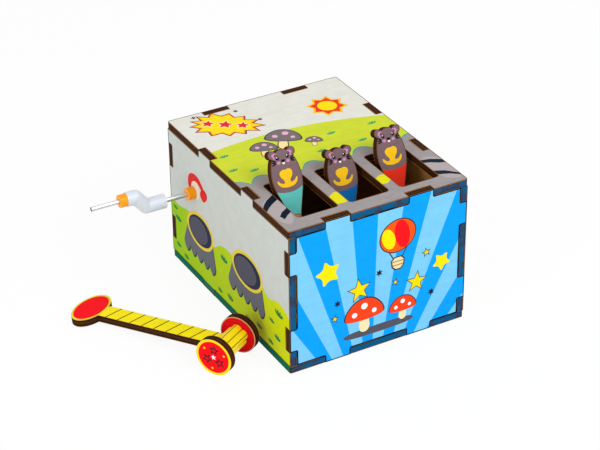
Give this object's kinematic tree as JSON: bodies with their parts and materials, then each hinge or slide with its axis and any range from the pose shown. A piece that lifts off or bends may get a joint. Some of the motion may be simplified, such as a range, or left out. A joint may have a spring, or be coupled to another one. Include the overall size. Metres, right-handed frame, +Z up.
{
  "type": "pop-up mole game box",
  "caption": "Hand-cranked plywood game box whose moles pop up through slots in the lid, with a small fluted wooden mallet.",
  "frame": {"origin": "centre of the box's underside, on the table", "axes": "+X to the box's right, away from the crank; +Y to its back; +Z up"},
  "size_m": [0.1834, 0.13, 0.1011],
  "materials": {
    "lid_print": "printed satin film on plywood, bare dark edges",
    "front_print": "printed satin film on plywood, bare dark edges",
    "side_print": "printed satin film on plywood, bare dark edges",
    "bare_ply": "bare birch plywood with laser-browned edges",
    "mole_print": "printed satin film on plywood, browned edges",
    "steel_rod": "drawn steel rod",
    "orange_plastic": "moulded plastic",
    "white_plastic": "moulded plastic",
    "mallet_yellow": "printed satin film on plywood",
    "mallet_barrel": "turned wood, yellow enamel",
    "mallet_red": "printed satin film on plywood"
  },
  "bodies": {
    "box": {"lid": "lid_print", "base": "bare_ply", "front_panel": "front_print", "back_panel": "side_print", "left_panel": "side_print", "right_panel": "side_print", "pivot_block_left": "bare_ply", "pivot_block_right": "bare_ply", "pivot_rod": "steel_rod", "pivot_spacers": "white_plastic"},
    "crank": {"camshaft": "steel_rod", "cam_1": "bare_ply", "cam_2": "bare_ply", "cam_3": "bare_ply", "cam_hubs": "orange_plastic", "crank_sleeve": "white_plastic", "left_wall_bush": "orange_plastic", "right_wall_bush": "orange_plastic", "handle_bush": "orange_plastic", "handle_rod": "steel_rod"},
    "left_mole": {"lever_1": "bare_ply", "mole_1": "mole_print"},
    "middle_mole": {"lever_2": "bare_ply", "mole_2": "mole_print"},
    "right_mole": {"lever_3": "bare_ply", "mole_3": "mole_print"},
    "mallet": {"mallet_handle": "mallet_yellow", "mallet_barrel": "mallet_barrel", "mallet_front_disc": "mallet_red", "mallet_rear_disc": "mallet_red"}
  },
  "joints": [
    {"name": "crank_turn", "type": "hinge", "parent": "box", "child": "crank", "pos_m": [0, 0.037, 0.053], "axis": [1, 0, 0], "continuous": true},
    {"name": "left_mole_tip", "type": "hinge", "parent": "box", "child": "left_mole", "pos_m": [0, 0.054, 0.0702], "axis": [-1, 0, 0], "range_deg": [-19, 0.2]},
    {"name": "middle_mole_tip", "type": "hinge", "parent": "box", "child": "middle_mole", "pos_m": [0, 0.054, 0.0702], "axis": [-1, 0, 0], "range_deg": [-13.9, 5.3]},
    {"name": "right_mole_tip", "type": "hinge", "parent": "box", "child": "right_mole", "pos_m": [0, 0.054, 0.0702], "axis": [1, 0, 0], "range_deg": [-2.9, 16.3]},
    {"name": "mallet_lift", "type": "slide", "parent": "box", "child": "mallet", "axis": [0, 0, 1], "range_m": [0, 0.03]}
  ]
}
